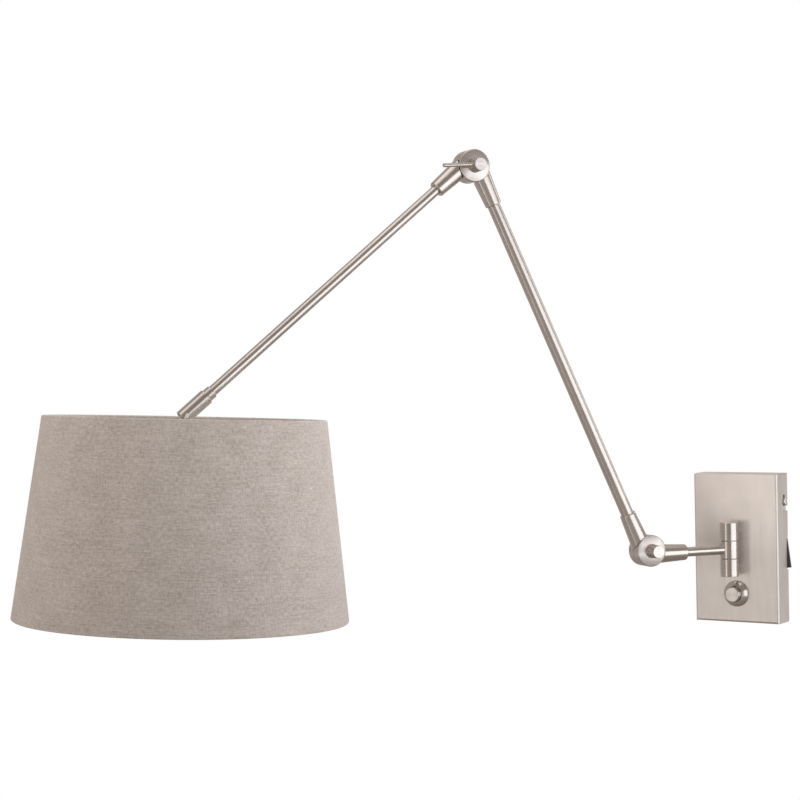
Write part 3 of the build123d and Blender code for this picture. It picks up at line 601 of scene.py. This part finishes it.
slub_way = add(
    tree,
    "ShaderNodeVectorMath",
    {0: cloth},
    {1: (1 / slub_length, 1 / slub_width, 0)},
    operation="MULTIPLY",
)
slub = add(tree, "ShaderNodeTexNoise", {"Vector": slub_way.outputs["Vector"]}, {"Scale": 1.0, "Detail": 1.0})
slubbed = add(
    tree,
    "ShaderNodeMath",
    {0: slub.outputs["Fac"], 2: weave.outputs["Value"]},
    {1: 0.4},
    operation="MULTIPLY_ADD",
)
blotch = add(tree, "ShaderNodeTexNoise", {"Vector": cloth}, {"Scale": 1 / 0.024, "Detail": 2.0})
yarn = add(
    tree,
    "ShaderNodeMath",
    {0: blotch.outputs["Fac"], 2: slubbed.outputs["Value"]},
    {1: 0.4},
    operation="MULTIPLY_ADD",
)
depth = add(
    tree,
    "ShaderNodeMapRange",
    {"Value": yarn.outputs["Value"]},
    {"From Min": 0.98, "From Max": 1.62, "To Min": 0.0, "To Max": 1.0},
)
tone = add(tree, "ShaderNodeValToRGB", {"Fac": depth.outputs["Result"]})
tone.color_ramp.elements[0].color = tint("#9F938A")
tone.color_ramp.elements[1].color = tint("#C1B6AE")
fleck_noise = add(tree, "ShaderNodeTexNoise", {"Vector": cloth}, {"Scale": 1 / 0.0035, "Detail": 1.0})
fleck = add(
    tree,
    "ShaderNodeMapRange",
    {"Value": fleck_noise.outputs["Fac"]},
    {"From Min": 0.74, "From Max": 0.8, "To Min": 0.0, "To Max": 0.8},
)
flecked = add(
    tree,
    "ShaderNodeMix",
    {"Factor": fleck.outputs["Result"], 6: tone.outputs["Color"]},
    {7: tint("#DDD5CC")},
    data_type="RGBA",
)
relief = add(
    tree, "ShaderNodeBump", {"Height": weave.outputs["Value"]}, {"Strength": 0.35, "Distance": 0.0004}
)
surface(
    tree,
    {"Base Color": flecked.outputs[2], "Normal": relief.outputs["Normal"]},
    {"Roughness": 0.9, "Sheen Weight": 0.25, "Sheen Roughness": 0.5, "Specular IOR Level": 0.2},
)
for piece in (cover, join):
    piece.data.materials.clear()
    piece.data.materials.append(linen)

# Studio: the lamp hangs in the air over a white floor, with a large softbox on its right, one above,
# a narrow strip on its left, one behind, and a dim room around, which is darkest about the camera.
# Fills light the linen from the right, the left and behind, and the inside of the shade from below.
stage_material, tree = blank("white_floor")
path = add(tree, "ShaderNodeLightPath")
spot = add(tree, "ShaderNodeTexCoord").outputs["Object"]
away = add(tree, "ShaderNodeVectorMath", {0: spot}, operation="LENGTH").outputs["Value"]
# In the metal the floor shows a painted shadow under the lamp: its mirrored colour is darker within 1.2 m of
# the middle and lightens out to 3.5 m.
painted_shade_pool = add(
    tree,
    "ShaderNodeMapRange",
    {"Value": away},
    {"From Min": 1.2, "From Max": 3.5, "To Min": 0.0, "To Max": 1.0},
)
mirror = add(
    tree,
    "ShaderNodeMix",
    {"Factor": painted_shade_pool.outputs["Result"]},
    {6: tint("#8B7F76"), 7: tint("#BDB5AE")},
    data_type="RGBA",
)
level = add(
    tree,
    "ShaderNodeMix",
    {"Factor": path.outputs["Is Glossy Ray"], 7: mirror.outputs[2]},
    {6: tint("#FFFFFF")},
    data_type="RGBA",
)
seen = add(
    tree,
    "ShaderNodeMath",
    {0: path.outputs["Is Camera Ray"], 1: path.outputs["Is Glossy Ray"]},
    operation="MAXIMUM",
)
paint = add(tree, "ShaderNodeBsdfDiffuse", values={"Color": tint("#E6E5E3")})
glow = add(tree, "ShaderNodeEmission", {"Color": level.outputs[2]}, {"Strength": 1.0})
both = add(
    tree,
    "ShaderNodeMixShader",
    {0: seen.outputs["Value"], 1: paint.outputs["BSDF"], 2: glow.outputs["Emission"]},
)
add(tree, "ShaderNodeOutputMaterial", {"Surface": both.outputs["Shader"]})
bpy.ops.object.select_all(action="DESELECT")
floor_height = -1.3
bpy.ops.mesh.primitive_plane_add(size=12, location=(0, 0, floor_height))
floor = bpy.context.object
floor.name = "floor"
bpy.ops.object.transform_apply(location=True, rotation=True, scale=True)
floor.data.materials.append(stage_material)
# The floor and the room aren't sampled as lamps, which keeps grain out of the metal.
stage_material.cycles.emission_sampling = "NONE"

camera_turn = math.radians(33.25)
world = bpy.data.worlds.new("studio")
bpy.context.scene.world = world
world.cycles.sampling_method = "NONE"
world.use_nodes = True
tree = world.node_tree
tree.nodes.clear()
way = add(tree, "ShaderNodeTexCoord").outputs["Generated"]
front = add(
    tree,
    "ShaderNodeVectorMath",
    {0: way},
    {1: (math.sin(camera_turn), -math.cos(camera_turn), 0)},
    operation="DOT_PRODUCT",
)
right = add(
    tree,
    "ShaderNodeVectorMath",
    {0: way},
    {1: (math.cos(camera_turn), math.sin(camera_turn), 0)},
    operation="DOT_PRODUCT",
)
bearing = add(
    tree, "ShaderNodeMath", {0: right.outputs["Value"], 1: front.outputs["Value"]}, operation="ARCTAN2"
)
bearing = add(
    tree,
    "ShaderNodeMapRange",
    {"Value": bearing.outputs["Value"]},
    {"From Min": -math.pi, "From Max": math.pi, "To Min": 0.0, "To Max": 1.0},
)
# The room that the metal mirrors, by degrees to the right of the camera.
room = add(tree, "ShaderNodeValToRGB", {"Fac": bearing.outputs["Result"]})
stops = (
    (-180, "#CFC8C2"),
    (-140, "#BDB5AE"),
    (-110, "#ACA198"),
    (-85, "#B7AEA6"),
    (-62, "#BDB5AE"),
    (-35, "#B6ADA6"),
    (-15, "#968A81"),
    (4, "#91857C"),
    (20, "#A0958C"),
    (72, "#A69B93"),
    (100, "#B9B1AA"),
    (130, "#B9B1AA"),
    (155, "#CFC8C2"),
    (180, "#CFC8C2"),
)
room.color_ramp.elements[0].position = 0.0
room.color_ramp.elements[1].position = 1.0
for degrees, code in stops[1:-1]:
    room.color_ramp.elements.new((degrees + 180) / 360).color = tint(code)
room.color_ramp.elements[0].color = tint(stops[0][1])
room.color_ramp.elements[-1].color = tint(stops[-1][1])
path = add(tree, "ShaderNodeLightPath")
mirrored = add(
    tree,
    "ShaderNodeMix",
    {"Factor": path.outputs["Is Glossy Ray"], 7: room.outputs["Color"]},
    {6: tint("#9D9A97")},
    data_type="RGBA",
)
seen = add(
    tree,
    "ShaderNodeMix",
    {"Factor": path.outputs["Is Camera Ray"], 6: mirrored.outputs[2]},
    {7: tint("#FFFFFF")},
    data_type="RGBA",
)
backdrop = add(tree, "ShaderNodeBackground", {"Color": seen.outputs[2]}, {"Strength": 1.0})
add(tree, "ShaderNodeOutputWorld", {"Surface": backdrop.outputs["Background"]})

# The fills light only the linen or the inside of the shade, and the softboxes and strips show in the metal.
# The flat side of the box would mirror the right softbox as plain white, so it has a dimmer one,
# and a small card lifts the upper half of its face, which mirrors the shade.
linen_pieces = bpy.data.collections.new("linen_pieces")
for piece in (cover, join):
    linen_pieces.objects.link(piece)
inside_pieces = bpy.data.collections.new("inside_pieces")
for piece in (
    "shade_liner",
    "shade_top_ring",
    "shade_bottom_ring",
    "lampholder_body",
    "bulb_cap",
    "bulb_glass",
):
    inside_pieces.objects.link(frame["nodes"][piece])
box_piece = bpy.data.collections.new("box_piece")
box_piece.objects.link(frame["nodes"]["wall_box"])
all_but_box = bpy.data.collections.new("all_but_box")
all_but_box.objects.link(frame["nodes"]["wall_box"])
all_but_box.collection_objects[0].light_linking.link_state = "EXCLUDE"
target = Vector((-0.15, -0.3, 0.15))
for name, place, width, height, power, code, lit_pieces, on_matt, in_shine in (
    ("right_softbox", (1.75, -0.33, 0.05), 2.4, 1.3, 15.7, "#F5FAFF", all_but_box, True, True),
    ("box_softbox", (1.75, -0.33, 0.05), 2.4, 1.3, 11, "#F5FAFF", box_piece, True, True),
    ("box_card", (-0.15, -0.34, 0.15), 0.4, 0.34, 0.18, "#FFFBF7", box_piece, False, True),
    ("right_fill", (2.67, 0.54, 1.05), 2.8, 2.8, 78, "#F8FBFF", linen_pieces, True, False),
    ("back_fill", (-0.85, 2.3, 1.65), 2.8, 2.8, 58, "#F6FAFF", linen_pieces, True, False),
    ("left_strip", (-0.62, -1.86, 0.45), 0.45, 3.1, 5.3, "#FFFBF7", None, False, True),
    ("left_fill", (-2.49, -3.42, 1.05), 2.8, 2.8, 96, "#FFFBF7", linen_pieces, True, False),
    ("inside_fill", (-0.33, -0.52, -0.9), 1.0, 1.0, 9, "#FFFDFB", inside_pieces, True, False),
    ("back_strip", (0.9, 1.5, 0.5), 0.5, 2.6, 5.3, "#FFFFFF", all_but_box, False, True),
    ("top_softbox", (-0.15, -0.6, 2.3), 1.8, 1.8, 10, "#FFFFFF", None, True, True),
):
    lamp = bpy.data.lights.new(name, "AREA")
    lamp.shape = "RECTANGLE"
    lamp.size = width
    lamp.size_y = height
    lamp.energy = power
    lamp.color = tint(code)[:3]
    holder = bpy.data.objects.new(name, lamp)
    holder.location = place
    holder.rotation_euler = (holder.location - target).to_track_quat("Z", "Y").to_euler()
    holder.visible_camera = False
    holder.visible_diffuse = on_matt
    holder.visible_glossy = in_shine
    holder.light_linking.receiver_collection = lit_pieces
    bpy.context.collection.objects.link(holder)

# Camera: where the photograph was taken from, about 2 m away and level with the arm,
# looking a little down and leaning a little to one side.
camera_place = (0.79902, -1.8576, 0.18584)
look_down = math.radians(0.87)
lean = math.radians(-1.15)
lens = bpy.data.cameras.new("camera")
lens.lens = 88.0
camera = bpy.data.objects.new("camera", lens)
camera.matrix_world = (
    Matrix.Translation(camera_place)
    @ Matrix.Rotation(camera_turn, 4, "Z")
    @ Matrix.Rotation(math.pi / 2 - look_down, 4, "X")
    @ Matrix.Rotation(lean, 4, "Z")
)
bpy.context.collection.objects.link(camera)
bpy.context.scene.camera = camera
bpy.context.scene.view_settings.view_transform = "Standard"
